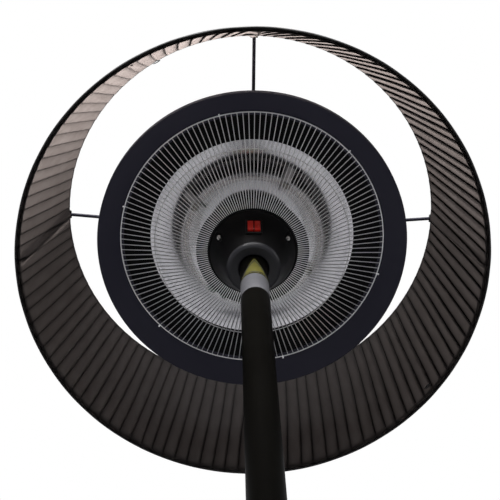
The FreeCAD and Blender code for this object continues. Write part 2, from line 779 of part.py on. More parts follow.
def make_reflector():
    """A shallow spun dish with a deep round channel over the heating ring."""
    mouth = size["reflector_radius"]
    low = rim + size["pan_rise"] + size["thin_gauge"]
    deep = rim + size["reflector_rise"]
    circle = size["element_circle"]
    eye = deep - 8.2

    def face(lift):
        """The dish from its mouth to its eye, lifted by a share of the sheet."""
        return [
            (mouth + (lift * 0.6), low + lift),
            Through(as_size(145.2), low + 2.0 + lift), (circle + CHANNEL_HALF, deep - CHANNEL_SIDE + lift),
            Through(circle, deep + lift), (circle - CHANNEL_HALF, deep - CHANNEL_SIDE + lift),
            Through(as_size(79), eye + 1.2 + lift), (as_size(CHANNEL_FOOT), eye + lift),
            (as_size(DISH_FLAT), eye + lift), (as_size(DISH_EYE), eye + lift)]

    under = face(0)
    over = face(DISH_GAUGE)
    # the outline comes back along the upper face, so that face is read backwards
    dish = turned("dish_blank", under + list(reversed(over)) + [
        (mouth + 9, low + DISH_GAUGE), (mouth + 9, low)])
    holes = []
    for index, angle in enumerate(element_ends()):
        x, y = polar(circle, angle)
        holes.append(rod(f"riser_hole_{index}", size["element_radius"] + 0.4, low, deep + 4, x, y))
    node("reflector_dish", cut("dish", dish, *holes))


# ---- head ----------------------------------------------------------------------------------

RIM_SCREWS = 6
CLIP_TAB = (5, 2.4, 1.0)  # one tab that holds the guard: across, along and thick
WIRE_TURN = 20
SHELL_CROWN = 80


def make_rim():
    outer = size["rim_radius"]
    gauge = size["sheet_gauge"]
    side = rim + size["rim_side"]
    guard = size["guard_radius"]
    shelf = rim + size["guard_rise"] + size["guard_ring"]
    bezel = turned("bezel_ring", [
        (outer, rim + gauge), (outer, side), (outer - 14, side), (outer - 14, side - gauge),
        (outer - gauge, side - gauge), (outer - gauge, rim + 1.9), (guard + 2.5, shelf + gauge),
        (guard - 5, shelf + gauge), (guard - 5, shelf), (guard + 2, shelf),
        (outer - gauge, rim), Through(outer - gauge * 0.29, rim + gauge * 0.29)])
    screws = []
    holes = []
    for index, angle in enumerate(around(RIM_SCREWS, 15)):
        x, y = polar(outer - 7, angle)
        shank = rod(f"rim_shank_{index}", 1.8, side - gauge - 2, side + size["thin_gauge"], x, y)
        head = rod(f"rim_head_{index}", 3.6, side + size["thin_gauge"], side + size["thin_gauge"] + 2.2, x, y)
        screws.append(fuse(f"rim_screw_{index}", shank, head))
        holes.append(rod(f"rim_hole_{index}", 1.8, side - gauge - 1, side + 3, x, y))
    node("rim_bezel", cut("bezel_drilled", bezel, *holes))
    node("rim_screws", group("rim_screw_set", screws))

    thin = size["thin_gauge"]
    top = rim + size["shell_rise"]
    shell = turned("shell_blank", [
        (outer - 13, side), (outer, side), (outer, side + thin), (outer - 12, side + thin),
        (outer - 42, rim + 46), Through(outer - 60, rim + 56), (outer - 90, rim + 61.5),
        (as_size(SHELL_CROWN), top),
        (size["stem_radius"], top), (size["stem_radius"], top - thin), (as_size(SHELL_CROWN), top - thin),
        (outer - 90, rim + 61.5 - thin), Through(outer - 61, rim + 54.8), (outer - 43.2, rim + 45.2)])
    node("head_shell", cut("shell", shell, *holes))

    pan_low = shelf + gauge
    pan_high = rim + size["pan_rise"]
    inner = size["pan_radius"]
    pan = turned("pan", [
        (guard + 2, pan_low), (guard + 2, pan_low + thin), (guard - 5.5, pan_low + thin),
        (inner + 7, pan_high + thin), (inner - 1.5, pan_high + thin), (inner - 1.5, pan_high),
        (inner + 7, pan_high), (guard - 5.5, pan_low)])
    node("inner_pan", pan)


def make_guard():
    """Radial wires welded under the outer ring and over the mounting plate, bent at the middle ring."""
    wire = size["guard_wire"].value
    ring = size["guard_ring"].value
    outer = size["guard_radius"].value
    high = (rim + size["guard_rise"]).value
    middle = size["guard_bend"].value
    bend_height = (rim + size["guard_bend_rise"]).value
    low = (rim - size["guard_drop"]).value
    inner = size["guard_inner"].value
    rest = size["plate_disc"].value + 6.5
    points = ((outer - ring, 0, high), (middle, 0, bend_height), (rest, 0, low), (inner, 0, low))
    spoke = swept(points, WIRE_TURN, wire)
    wires = []
    for angle in around(int(size["wire_count"].value)):
        copy = spoke.copy()
        copy.rotate(Vector(0, 0, 0), UP, angle)
        wires.append(copy)
    node("guard_wires", feature("wires", Part.makeCompound(wires)))
    node("guard_outer_ring", put(add("Part::Torus", "outer_ring", Radius1=size["guard_radius"],
                                     Radius2=size["guard_ring"]), z=rim + size["guard_rise"]))
    node("guard_middle_ring", put(add("Part::Torus", "middle_ring", Radius1=size["guard_bend"],
                                      Radius2=size["guard_wire"]),
                                  z=rim + size["guard_bend_rise"] + size["guard_wire"] * 1.95))
    clips = []
    for index, angle in enumerate(around(RIM_SCREWS, 15)):
        tab = add("Part::Box", f"clip_{index}", Length=CLIP_TAB[0], Width=CLIP_TAB[1], Height=CLIP_TAB[2])
        x, y = polar(size["guard_radius"] + 0.9, angle)
        corner = FreeCAD.Placement(Vector(-CLIP_TAB[0] / 2, -CLIP_TAB[1] / 2, 0), FreeCAD.Rotation())
        drop = rim + size["guard_rise"] - size["guard_ring"] - CLIP_TAB[2]
        tab.Placement = FreeCAD.Placement(Vector(x.value, y.value, drop.value), spin(angle)).multiply(corner)
        clips.append(tab)
    node("guard_clips", group("clips", clips))


# ---- shade ---------------------------------------------------------------------------------

SPOKE_COUNT = 4
STRUT_WIRE = 1.6
CLIP_WALL = 1.8
CLIP_LENGTH = 12
HOOP_JOINT = 0.3  # degrees between two quarters of the top hoop, inside a clip
KNOB_NECK = 9
hoop_top = size["shade_top"] - size["hoop_wire"] + 0.4
hoop_low = size["shade_bottom"] - size["hoop_wire"] - 0.6
hoop_top_height = rim + size["shade_rise"] - size["hoop_wire"]
hoop_low_height = rim - size["shade_drop"] + size["hoop_wire"]


def leaning(label, radius, start, end, angle):
    """A round bar in an upright plane at one angle, between two (radius, height) places."""
    run = end[0].value - start[0].value
    rise = end[1].value - start[1].value
    bar = add("Part::Cylinder", label, Radius=radius, Height=math.hypot(run, rise))
    lean = FreeCAD.Rotation(Vector(0, 1, 0), math.degrees(math.atan2(run, rise)))
    x, y = polar(start[0], angle)
    return put(bar, x, y, start[1], spin(angle).multiply(lean))


def make_shade_frame():
    hub_low = rim + size["hub_rise"]
    hub_high = hub_low + size["hub_height"]
    hub_middle = hub_low + size["hub_height"] / 2
    spokes = []
    struts = []
    clips = []
    quarters = []
    whole_hoop = add("Part::Torus", "hoop_way", Radius1=hoop_top, Radius2=size["hoop_wire"])
    put(whole_hoop, z=hoop_top_height)
    reach = size["hub_radius"] - 8
    for index, angle in enumerate(around(SPOKE_COUNT)):
        inside = (reach, hub_middle - 1)
        outside = (hoop_top - size["hoop_wire"] - 0.6, hoop_top_height)
        spokes.append(leaning(f"spoke_{index}", size["spoke_wire"], inside, outside, angle))
        foot = (hoop_low - 0.7, hoop_low_height + size["hoop_wire"])
        head = (hoop_top + 0.7, hoop_top_height - size["hoop_wire"])
        struts.append(leaning(f"strut_{index}", STRUT_WIRE, foot, head, angle))
        sleeve = add("Part::Cylinder", f"clip_sleeve_{index}", Radius=size["hoop_wire"] + CLIP_WALL,
                     Height=CLIP_LENGTH)
        lying = FreeCAD.Placement(Vector(hoop_top.value - 2.4, CLIP_LENGTH / 2, hoop_top_height.value),
                                  FreeCAD.Rotation(Vector(1, 0, 0), 90))
        sleeve.Placement = FreeCAD.Placement(Vector(0, 0, 0), spin(angle)).multiply(lying)
        clips.append(cut(f"shade_clip_{index}", sleeve, whole_hoop, spokes[-1], struts[-1]))
        quarter = add("Part::Torus", f"top_hoop_{index}", Radius1=hoop_top, Radius2=size["hoop_wire"],
                      Angle3=360 / SPOKE_COUNT - HOOP_JOINT)
        quarters.append(put(quarter, z=hoop_top_height, rotation=spin(angle + HOOP_JOINT / 2)))
    node("shade_spokes", group("spokes", spokes))
    node("shade_struts", group("struts", struts))
    node("spoke_clips", group("shade_clips", clips))
    node("shade_top_ring", group("top_hoop_quarters", quarters))
    node("shade_bottom_ring", put(add("Part::Torus", "low_hoop", Radius1=hoop_low, Radius2=size["hoop_wire"]),
                                  z=hoop_low_height))
    bore = size["stem_radius"] + 0.08
    hub = turned("hub_blank", [
        (bore, hub_low), (size["hub_radius"], hub_low), (size["hub_radius"], hub_high - 2),
        Through(size["hub_radius"] - 0.6, hub_high - 0.6), (size["hub_radius"] - 2, hub_high), (bore, hub_high)])
    node("shade_hub", cut("hub", hub, *spokes))


def make_knob():
    """A ball knob with a blind bore that the stem stands in."""
    low = rim + size["hub_rise"] + size["hub_height"] + 0.3
    wide = size["knob_radius"]
    neck = put(add("Part::Cone", "knob_neck", Radius1=wide - 4, Radius2=wide, Height=KNOB_NECK), z=low)
    ball = put(add("Part::Sphere", "knob_ball", Radius=wide, Angle1=0), z=low + KNOB_NECK)
    bore = rod("knob_bore", size["stem_radius"] + 0.08, low - 1, rim + size["stem_rise"] + 1)
    node("shade_knob", cut("knob", fuse("knob_solid", neck, ball), bore))


def make_fabric():
    """The pleated shade as one wall, open at the top and the bottom."""
    low = rim - size["shade_drop"]
    high = rim + size["shade_rise"]
    fold = size["shade_fold"]
    fabric = turned("fabric", [
        (size["shade_bottom"], low), (size["shade_bottom"] + fold, low),
        (size["shade_top"] + fold, high), (size["shade_top"], high)])
    node("shade_fabric", fabric)


# ---- build ---------------------------------------------------------------------------------

def check(thing):
    """Stop on anything that failed to build."""
    if "Invalid" in thing.State or "Error" in thing.State:
        raise RuntimeError(f"{thing.Label} failed: {thing.State}")


def main():
    make_base()
    make_base_cover()
    make_pole()
    make_gland()
    make_supply_cable()
    make_marks()
    make_housing()
    make_mounting_plate()
    make_switch()
    make_core()
    make_electrics()
    make_element()
    make_reflector()
    make_rim()
    make_guard()
    make_shade_frame()
    make_knob()
    make_fabric()
    doc.recompute()
    for thing in doc.Objects:
        check(thing)
    os.makedirs("parts", exist_ok=True)
    for piece in nodes:
        if piece.Shape.isNull() or not piece.Shape.isValid():
            raise RuntimeError(f"{piece.Label} has no valid shape")
        piece.Shape.exportStep(f"parts/{piece.Label}.step")
        print(piece.Label, len(piece.Shape.Solids), round(piece.Shape.Volume / 1000, 2), "cm3")


main()
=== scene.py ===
"""Looks of a free-standing electric patio heater: a dish head on a pole, inside a pleated fabric shade."""
import math
import random

import bpy
from mathutils import Matrix, Vector, noise


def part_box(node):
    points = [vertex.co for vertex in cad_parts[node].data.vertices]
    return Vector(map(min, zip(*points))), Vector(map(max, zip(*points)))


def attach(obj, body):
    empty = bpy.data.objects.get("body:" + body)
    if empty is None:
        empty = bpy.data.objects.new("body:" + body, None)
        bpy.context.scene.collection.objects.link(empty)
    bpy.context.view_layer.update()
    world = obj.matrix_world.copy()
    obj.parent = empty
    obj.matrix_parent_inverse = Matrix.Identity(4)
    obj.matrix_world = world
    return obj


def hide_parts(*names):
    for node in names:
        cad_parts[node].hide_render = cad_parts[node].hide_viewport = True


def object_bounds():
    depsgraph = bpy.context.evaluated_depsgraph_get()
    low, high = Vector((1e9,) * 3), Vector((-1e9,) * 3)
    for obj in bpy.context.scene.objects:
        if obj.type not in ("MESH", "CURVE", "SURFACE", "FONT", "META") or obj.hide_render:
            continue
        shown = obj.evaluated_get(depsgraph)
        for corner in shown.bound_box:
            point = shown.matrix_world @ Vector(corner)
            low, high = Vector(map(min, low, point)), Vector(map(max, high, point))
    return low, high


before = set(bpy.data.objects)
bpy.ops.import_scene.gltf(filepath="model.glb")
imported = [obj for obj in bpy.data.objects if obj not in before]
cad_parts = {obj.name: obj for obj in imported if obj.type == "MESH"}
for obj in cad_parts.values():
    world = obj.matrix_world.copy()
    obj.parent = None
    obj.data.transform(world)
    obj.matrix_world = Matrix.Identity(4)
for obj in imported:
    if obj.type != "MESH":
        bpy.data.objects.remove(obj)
cad_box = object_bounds()

# ---- places, all read from the frame -------------------------------------------------------

floor_height = cad_box[0].z
cloth_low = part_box("shade_fabric")[0].z
cloth_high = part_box("shade_fabric")[1].z
low_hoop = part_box("shade_bottom_ring")
top_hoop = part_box("shade_top_ring")
HOOP_WIRE = (low_hoop[1].z - low_hoop[0].z) / 2
low_hoop_radius = low_hoop[1].x - HOOP_WIRE
top_hoop_radius = top_hoop[1].x - HOOP_WIRE
low_hoop_height = (low_hoop[0].z + low_hoop[1].z) / 2
top_hoop_height = (top_hoop[0].z + top_hoop[1].z) / 2
SPOKES = 4


# ---- small tools ---------------------------------------------------------------------------

def polar(radius, angle, height):
    """A point at a radius and an angle in radians, at a height."""
    return Vector((radius * math.cos(angle), radius * math.sin(angle), height))


def smooth(low, high, value):
    """0 below low, 1 above high, and an even curve between."""
    share = min(1.0, max(0.0, (value - low) / (high - low)))
    return share * share * (3 - 2 * share)


def mix(a, b, share):
    return a + (b - a) * share


def wrapped(angle):
    """The same angle between -pi and pi."""
    return (angle + math.pi) % (2 * math.pi) - math.pi


def mesh_piece(name, points, faces, material, body, sharp=40):
    """A mesh object that rides on a body, with smooth faces and edges kept past an angle."""
    mesh = bpy.data.meshes.new(name)
    mesh.from_pydata([tuple(p) for p in points], [], faces)
    mesh.validate()
    mesh.polygons.foreach_set("use_smooth", [True] * len(mesh.polygons))
    mesh.set_sharp_from_angle(angle=math.radians(sharp))
    mesh.update()
    piece = bpy.data.objects.new(name, mesh)
    bpy.context.scene.collection.objects.link(piece)
    mesh.materials.append(material)
    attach(piece, body)
    return piece


def strip_faces(rows, columns, around_rows=False, around_columns=False):
    """Faces of a grid of points stored row by row."""
    faces = []
    for row in range(rows if around_rows else rows - 1):
        for column in range(columns if around_columns else columns - 1):
            next_row = (row + 1) % rows
            next_column = (column + 1) % columns
            faces.append((row * columns + column, row * columns + next_column,
                          next_row * columns + next_column, next_row * columns + column))
    return faces


def lathe(name, profile, material, body, segments=288, wobble=0.0, seed=0.0):
    """A ring about the pole's axis whose section is a closed outline of (radius, height) places."""
    points = []
    for index in range(segments):
        angle = 2 * math.pi * index / segments
        for radius, height in profile:
            shift = wobble * noise.noise(Vector((math.cos(angle) * 9, math.sin(angle) * 9, seed)))
            points.append(polar(radius + shift, angle, height + shift * 0.5))
    faces = strip_faces(segments, len(profile), around_rows=True, around_columns=True)
    return mesh_piece(name, points, faces, material, body)


def tube_along(name, line, radius, material, body, sides):
    """A round tube along a list of points, with closed ends."""
    count = len(line)
    points = []
    side = Vector((0, 0, 1))
    for index, here in enumerate(line):
        before = line[max(index - 1, 0)]
        after = line[min(index + 1, count - 1)]
        ahead = (after - before).normalized()
        side = (side - ahead * side.dot(ahead)).normalized()
        across = ahead.cross(side)
        for turn in range(sides):
            angle = 2 * math.pi * turn / sides
            points.append(here + (side * math.cos(angle) + across * math.sin(angle)) * radius)
    faces = strip_faces(count, sides, around_columns=True)
    faces.append(tuple(reversed(range(sides))))
    faces.append(tuple(range((count - 1) * sides, count * sides)))
    return mesh_piece(name, points, faces, material, body)


# ---- materials -----------------------------------------------------------------------------

def new_material(name):
    material = bpy.data.materials.new(name)
    material.use_nodes = True
    tree = material.node_tree
    return material, tree, tree.nodes["Principled BSDF"]


def link(tree, source, target):
    tree.links.new(source, target)


def noise_node(tree, scale, detail=3.0, stretch=None):
    """Noise over the object's own coordinates, in cells of about 1/scale metres."""
    place = tree.nodes.new("ShaderNodeTexCoord")
    texture = tree.nodes.new("ShaderNodeTexNoise")
    texture.inputs["Scale"].default_value = scale
    texture.inputs["Detail"].default_value = detail
    if stretch is None:
        link(tree, place.outputs["Object"], texture.inputs["Vector"])
        return texture.outputs["Fac"]
    mapping = tree.nodes.new("ShaderNodeMapping")
    mapping.inputs["Scale"].default_value = stretch
    link(tree, place.outputs["Object"], mapping.inputs["Vector"])
    link(tree, mapping.outputs["Vector"], texture.inputs["Vector"])
    return texture.outputs["Fac"]


def ranged(tree, source, low, high):
    """A texture's middle range, mapped to run from low to high."""
    node = tree.nodes.new("ShaderNodeMapRange")
    node.inputs["From Min"].default_value = 0.3
    node.inputs["From Max"].default_value = 0.7
    node.inputs["To Min"].default_value = low
    node.inputs["To Max"].default_value = high
    link(tree, source, node.inputs["Value"])
    return node.outputs["Result"]


def blended(tree, share, first, second):
    """A colour that runs from first to second; each is a colour or a socket."""
    node = tree.nodes.new("ShaderNodeMix")
    node.data_type = "RGBA"
    link(tree, share, node.inputs["Factor"])
    for socket, value in ((node.inputs[6], first), (node.inputs[7], second)):
        if isinstance(value, tuple):
            socket.default_value = (*value, 1)
        else:
            link(tree, value, socket)
    return node.outputs[2]


def bump(tree, source, strength, distance, normal=None):
    node = tree.nodes.new("ShaderNodeBump")
    node.inputs["Strength"].default_value = strength
    node.inputs["Distance"].default_value = distance
    link(tree, source, node.inputs["Height"])
    if normal is not None:
        link(tree, normal, node.inputs["Normal"])
    return node.outputs["Normal"]


def edge_share(tree, width):
    """1 on rounded-over corners and 0 on flat faces, from how far a bevelled normal turns."""
    rounded = tree.nodes.new("ShaderNodeBevel")
    rounded.samples = 4
    rounded.inputs["Radius"].default_value = width
    flat = tree.nodes.new("ShaderNodeNewGeometry")
    dot = tree.nodes.new("ShaderNodeVectorMath")
    dot.operation = "DOT_PRODUCT"
    link(tree, rounded.outputs["Normal"], dot.inputs[0])
    link(tree, flat.outputs["Normal"], dot.inputs[1])
    turned = tree.nodes.new("ShaderNodeMapRange")
    turned.inputs["From Min"].default_value = 0.99
    turned.inputs["From Max"].default_value = 0.8
    link(tree, dot.outputs["Value"], turned.inputs["Value"])
    return turned.outputs["Result"]


def finish_material(name, dark, light, rough, metallic=0.0, grain=900.0, grain_depth=0.00004,
                    broad=7.0, painted_edge_shade=None, coat=0.0, specular=0.5):
    """Paint, plastic or metal: colour and gloss vary softly, with a fine surface grain."""
    material, tree, shader = new_material(name)
    patches = noise_node(tree, broad, 4.0)
    colour = blended(tree, ranged(tree, patches, 0.0, 1.0), dark, light)
    # Painted shade: when an edge colour is given, rounded edges and corners take it, darker than the paint.
    if painted_edge_shade is not None:
        colour = blended(tree, edge_share(tree, 0.0012), colour, painted_edge_shade)
    link(tree, colour, shader.inputs["Base Color"])
    smears = noise_node(tree, broad * 4, 5.0)
    link(tree, ranged(tree, smears, rough[0], rough[1]), shader.inputs["Roughness"])
    shader.inputs["Metallic"].default_value = metallic
    shader.inputs["Specular IOR Level"].default_value = specular
    shader.inputs["Coat Weight"].default_value = coat
    shader.inputs["Coat Roughness"].default_value = 0.12
    link(tree, bump(tree, noise_node(tree, grain, 2.0), 0.5, grain_depth), shader.inputs["Normal"])
    return material


def reflector_material():
    """Spun aluminium: a soft mirror with fine turning lines and faint cloudy patches."""
    material, tree, shader = new_material("reflector_aluminium")
    clouds = noise_node(tree, 14.0, 4.0)
    colour = blended(tree, ranged(tree, clouds, 0.0, 1.0), (0.79, 0.78, 0.82), (0.87, 0.86, 0.9))
    link(tree, colour, shader.inputs["Base Color"])
    link(tree, ranged(tree, noise_node(tree, 40.0), 0.15, 0.2), shader.inputs["Roughness"])
    shader.inputs["Metallic"].default_value = 1.0
    place = tree.nodes.new("ShaderNodeTexCoord")
    turning = tree.nodes.new("ShaderNodeTexWave")
    turning.wave_type = "RINGS"
    turning.rings_direction = "Z"
    turning.inputs["Scale"].default_value = 60.0
    turning.inputs["Distortion"].default_value = 1.2
    link(tree, place.outputs["Object"], turning.inputs["Vector"])
    lines = bump(tree, turning.outputs["Fac"], 0.1, 0.00004)
    dents = bump(tree, noise_node(tree, 22.0, 1.0), 0.12, 0.0004, lines)
    link(tree, dents, shader.inputs["Normal"])
    return material


def quartz_material():
    """A clear heating tube: see-through in the middle and mirror-like along its edges."""
    material, tree, shader = new_material("heating_tube")
    clear = tree.nodes.new("ShaderNodeBsdfTransparent")
    clear.inputs["Color"].default_value = (0.95, 0.945, 0.935, 1)
    shader.inputs["Metallic"].default_value = 0.9
    clouds = ranged(tree, noise_node(tree, 30.0), 0.0, 1.0)
    colour = blended(tree, clouds, (0.6, 0.58, 0.58), (0.74, 0.72, 0.72))
    link(tree, colour, shader.inputs["Base Color"])
    link(tree, ranged(tree, noise_node(tree, 60.0), 0.08, 0.16), shader.inputs["Roughness"])
    edge = tree.nodes.new("ShaderNodeLayerWeight")
    edge.inputs["Blend"].default_value = 0.35
    share = tree.nodes.new("ShaderNodeMapRange")
    share.inputs["From Min"].default_value = 0.1
    share.inputs["From Max"].default_value = 0.85
    share.inputs["To Min"].default_value = 0.04
    share.inputs["To Max"].default_value = 0.6
    link(tree, edge.outputs["Facing"], share.inputs["Value"])
    both = tree.nodes.new("ShaderNodeMixShader")
    link(tree, share.outputs["Result"], both.inputs["Fac"])
    link(tree, clear.outputs["BSDF"], both.inputs[1])
    link(tree, shader.outputs["BSDF"], both.inputs[2])
    link(tree, both.outputs["Shader"], tree.nodes["Material Output"].inputs["Surface"])
    return material


CLOTH_THROUGH = 0.47  # share of the light that passes through each face of the cloth
CLOTH_DARK = (0.0072, 0.0068, 0.0071)
CLOTH_LIGHT = (0.0102, 0.0094, 0.0097)
CLOTH_THREAD = (0.0125, 0.0115, 0.0118)
# CLOTH_SHADOW is painted shade: the colour the cloth takes deep in its folds.
CLOTH_SHADOW = (0.0008, 0.0007, 0.0008)  # deep in the folds


def cloth_material(name, through):
    """Thin woven polyester with a soft nap: painted shade darkens it in its folds, and it is pale where it is
    seen at a low angle.
    """
    material, tree, shader = new_material(name)
    slubs = noise_node(tree, 90.0, 4.0, stretch=(1, 1, 0.25))
    colour = blended(tree, ranged(tree, slubs, 0.0, 1.0), CLOTH_DARK, CLOTH_LIGHT)
    normal = bump(tree, noise_node(tree, 35.0, 3.0), 0.25, 0.0004)
    if through:
        flat = tree.nodes.new("ShaderNodeUVMap")
        flat.uv_map = "cloth"
        threads = []
        for direction in ("X", "Y"):
            weave = tree.nodes.new("ShaderNodeTexWave")
            weave.bands_direction = direction
            weave.inputs["Scale"].default_value = 260.0
            weave.inputs["Distortion"].default_value = 0.6
            link(tree, flat.outputs["UV"], weave.inputs["Vector"])
            threads.append(weave.outputs["Fac"])
        crossing = tree.nodes.new("ShaderNodeMath")
        crossing.operation = "MULTIPLY"
        link(tree, threads[0], crossing.inputs[0])
        link(tree, threads[1], crossing.inputs[1])
        colour = blended(tree, crossing.outputs["Value"], colour, CLOTH_THREAD)
        normal = bump(tree, crossing.outputs["Value"], 0.1, 0.0001, normal)
        # Painted shade: an attribute made with the mesh darkens the cloth towards CLOTH_SHADOW deep in its
        # folds.
        fold = tree.nodes.new("ShaderNodeAttribute")
        fold.attribute_name = "painted_fold_shade"
        colour = blended(tree, fold.outputs["Fac"], CLOTH_SHADOW, colour)
    link(tree, colour, shader.inputs["Base Color"])
    link(tree, normal, shader.inputs["Normal"])
    link(tree, ranged(tree, slubs, 0.62, 0.8), shader.inputs["Roughness"])
    shader.inputs["Sheen Weight"].default_value = 0.03
    shader.inputs["Sheen Roughness"].default_value = 0.35
    shader.inputs["Sheen Tint"].default_value = (1.0, 0.9, 0.85, 1)
    shader.inputs["Specular IOR Level"].default_value = 0.06
    if not through:
        return material
    glow = tree.nodes.new("ShaderNodeBsdfTranslucent")
    warm = blended(tree, ranged(tree, slubs, 0.0, 1.0), (0.66, 0.6, 0.575), (0.76, 0.7, 0.675))
    # The light that passes through the cloth is darkened in the folds by the same painted shade.
    link(tree, blended(tree, fold.outputs["Fac"], CLOTH_SHADOW, warm), glow.inputs["Color"])
    link(tree, normal, glow.inputs["Normal"])
    both = tree.nodes.new("ShaderNodeMixShader")
    both.inputs["Fac"].default_value = through
    link(tree, shader.outputs["BSDF"], both.inputs[1])
    link(tree, glow.outputs["BSDF"], both.inputs[2])
    link(tree, both.outputs["Shader"], tree.nodes["Material Output"].inputs["Surface"])
    return material


# The pole, the band and the triangle are darker than such pieces are, because the key lamp is strong.
materials = {
    # Its edge colour paints shade on the rounded edges and corners of the black paint.
    "black_powder_coat": finish_material("black_powder_coat", (0.03, 0.029, 0.047), (0.038, 0.037, 0.056),
                                         (0.42, 0.54), painted_edge_shade=(0.02, 0.02, 0.026), specular=0.25),
    "pan_paint": finish_material("pan_paint", (0.003, 0.003, 0.0035), (0.0045, 0.0045, 0.005),
                                 (0.5, 0.62), specular=0.1),
    "pole_paint": finish_material("pole_paint", (0.0012, 0.0011, 0.0009), (0.0018, 0.0017, 0.0014),
                                  (0.3, 0.4), specular=0.01),
    "cast_iron": finish_material("cast_iron", (0.012, 0.012, 0.012), (0.022, 0.021, 0.02),
                                 (0.55, 0.7), grain=420.0, grain_depth=0.0002),
    "zinc_steel": finish_material("zinc_steel", (0.5, 0.49, 0.47), (0.66, 0.65, 0.62),
                                  (0.22, 0.36), metallic=1.0, grain=1500.0),
    "bright_wire": finish_material("bright_wire", (0.9, 0.9, 0.92), (0.97, 0.97, 0.98),
                                   (0.3, 0.4), metallic=1.0, grain=1500.0, grain_depth=0.00001),
    "reflector_aluminium": reflector_material(),
    "heating_tube": quartz_material(),
    "filament": finish_material("filament", (0.42, 0.36, 0.32), (0.56, 0.49, 0.44),
                                (0.35, 0.5), metallic=0.9),
    "ceramic": finish_material("ceramic", (0.17, 0.27, 0.245), (0.24, 0.36, 0.32), (0.3, 0.45)),
    "black_plastic": finish_material("black_plastic", (0.0045, 0.0045, 0.0048), (0.0065, 0.0065, 0.007),
                                     (0.3, 0.42), grain=1400.0, grain_depth=0.00002, specular=0.12),
    "collar_plastic": finish_material("collar_plastic", (0.019, 0.019, 0.022), (0.025, 0.025, 0.03),
                                      (0.38, 0.5), grain=1200.0, grain_depth=0.00002, specular=0.3),
    "red_plastic": finish_material("red_plastic", (0.5, 0.016, 0.008), (0.66, 0.03, 0.014),
                                   (0.36, 0.46), coat=0.15, grain=1800.0, grain_depth=0.00002, specular=0.2),
    "pale_plastic": finish_material("pale_plastic", (0.55, 0.52, 0.46), (0.66, 0.63, 0.56), (0.4, 0.55)),
    "cable_jacket": finish_material("cable_jacket", (0.009, 0.009, 0.009), (0.015, 0.015, 0.015),
                                    (0.45, 0.6)),
    "foot_rubber": finish_material("foot_rubber", (0.01, 0.01, 0.01), (0.018, 0.018, 0.018), (0.65, 0.8)),
    "silver_label": finish_material("silver_label", (0.06, 0.06, 0.066), (0.072, 0.072, 0.079),
                                    (0.38, 0.5), metallic=0.35, grain=1600.0),
    "yellow_label": finish_material("yellow_label", (0.05, 0.046, 0.003), (0.06, 0.055, 0.004), (0.35, 0.48)),
    "print_black_and_recess_shade": finish_material("print_black_and_recess_shade", (0.006, 0.006, 0.006), (0.011, 0.011, 0.01), (0.35, 0.48)),
    "hem_tape": finish_material("hem_tape", (0.007, 0.0065, 0.0065), (0.013, 0.012, 0.012),
                                (0.6, 0.75), grain=700.0, grain_depth=0.00025),
    "shade_cloth": cloth_material("shade_cloth", CLOTH_THROUGH),
    "hem_cloth": cloth_material("hem_cloth", 0.0),
}

FINISH = {
    "black_powder_coat": ["base_cover", "pole_flange", "base_collar", "rim_bezel", "head_shell",
                          "shade_spokes", "shade_struts", "shade_top_ring", "shade_bottom_ring",
                          "shade_hub", "pole_socket"],
    "pan_paint": ["inner_pan", "mounting_plate"],
    "pole_paint": ["lower_pole", "middle_pole", "upper_pole"],
    "cast_iron": ["base_plate"],
    "zinc_steel": ["flange_bolts", "pole_screws", "housing_screws", "stem_nuts", "rim_screws", "centre_stem",
                   "element_holders", "rocker_pin", "pole_sleeves"],
    "bright_wire": ["guard_wires", "guard_outer_ring", "guard_middle_ring", "guard_clips"],
    "reflector_aluminium": ["reflector_dish"],
    "heating_tube": ["heating_element"],
    "ceramic": ["element_end_caps"],
    "black_plastic": ["switch_housing", "switch_body", "switch_bezel", "cable_gland", "shade_knob",
                      "spoke_clips", "thermal_cutout", "tip_over_switch"],
    "collar_plastic": ["housing_collar"],
    "red_plastic": ["rocker_left", "rocker_right"],
    "pale_plastic": ["terminal_block"],
    "cable_jacket": ["supply_cable", "lead_wires"],
    "foot_rubber": ["rubber_feet"],
    "silver_label": ["label_band"],
    "yellow_label": ["warning_sticker"],
}


def dress_nodes():
    """Give every CAD node that shows its finish."""
    for name, nodes in FINISH.items():
        for node in nodes:
            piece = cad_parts[node]
            piece.data.materials.clear()
            piece.data.materials.append(materials[name])


# ---- the pleated shade ---------------------------------------------------------------------

PLEATS = 108
PLEAT_DEPTH = 0.0036
ROWS_BETWEEN_HOOPS = 25
CLOTH_THICK = 0.0005
WRAP_GAP = 0.0012  # the cloth stands this far off a hoop it wraps
FLAT_AT_HEM = 0.012  # height over which the pleats are pressed flat at each hoop
STRUT_FOLD = 0.004  # how far the cloth is pushed in where it passes over a strut
STRUT_FOLD_BEFORE = 0.015
STRUT_FOLD_AFTER = 0.009
PLEAT_BOW = 0.0011  # how far a fold bends to one side at mid-height, at most
PLEAT_SWAY = 0.0007  # how far it bends in an S
PUCKER = 0.0003
COVER_OUT = 0.0012  # the hem's turned edge over a hoop, beyond the wire
COVER_IN = 0.0005

# One knife pleat from inside the shade: (share of the pleat's width, share of its depth, painted light in the
# fold, low where the fold is shaded).
# The cloth comes forward to a fold edge, runs back under the next pleat, turns and returns.
PLEAT_SECTION = [(0.0, 0.0, 1.0), (0.07, 0.04, 1.0), (0.3, 0.22, 1.0), (0.6, 0.46, 0.96), (0.8, 0.62, 0.86),
                 (0.92, 0.74, 0.66), (0.985, 0.82, 0.25), (1.03, 0.93, 0.05), (1.065, 0.9, 0.05),
                 (1.07, 0.72, 0.05), (1.045, 0.4, 0.05), (1.012, 0.12, 0.06), (0.995, 0.02, 0.4)]


def wall_radius(height):
    """The inner face of the cloth, which runs straight up inside both hoops."""
    low = low_hoop_radius - HOOP_WIRE - WRAP_GAP
    high = top_hoop_radius - HOOP_WIRE - WRAP_GAP
    return mix(low, high, (height - low_hoop_height) / (top_hoop_height - low_hoop_height))


def pleat_lean(angle):
    """How far round, in radians, a pleat leans from the low hoop to the top one."""
    return -math.radians(3.6 - 1.5 * math.cos(angle - math.radians(35)))


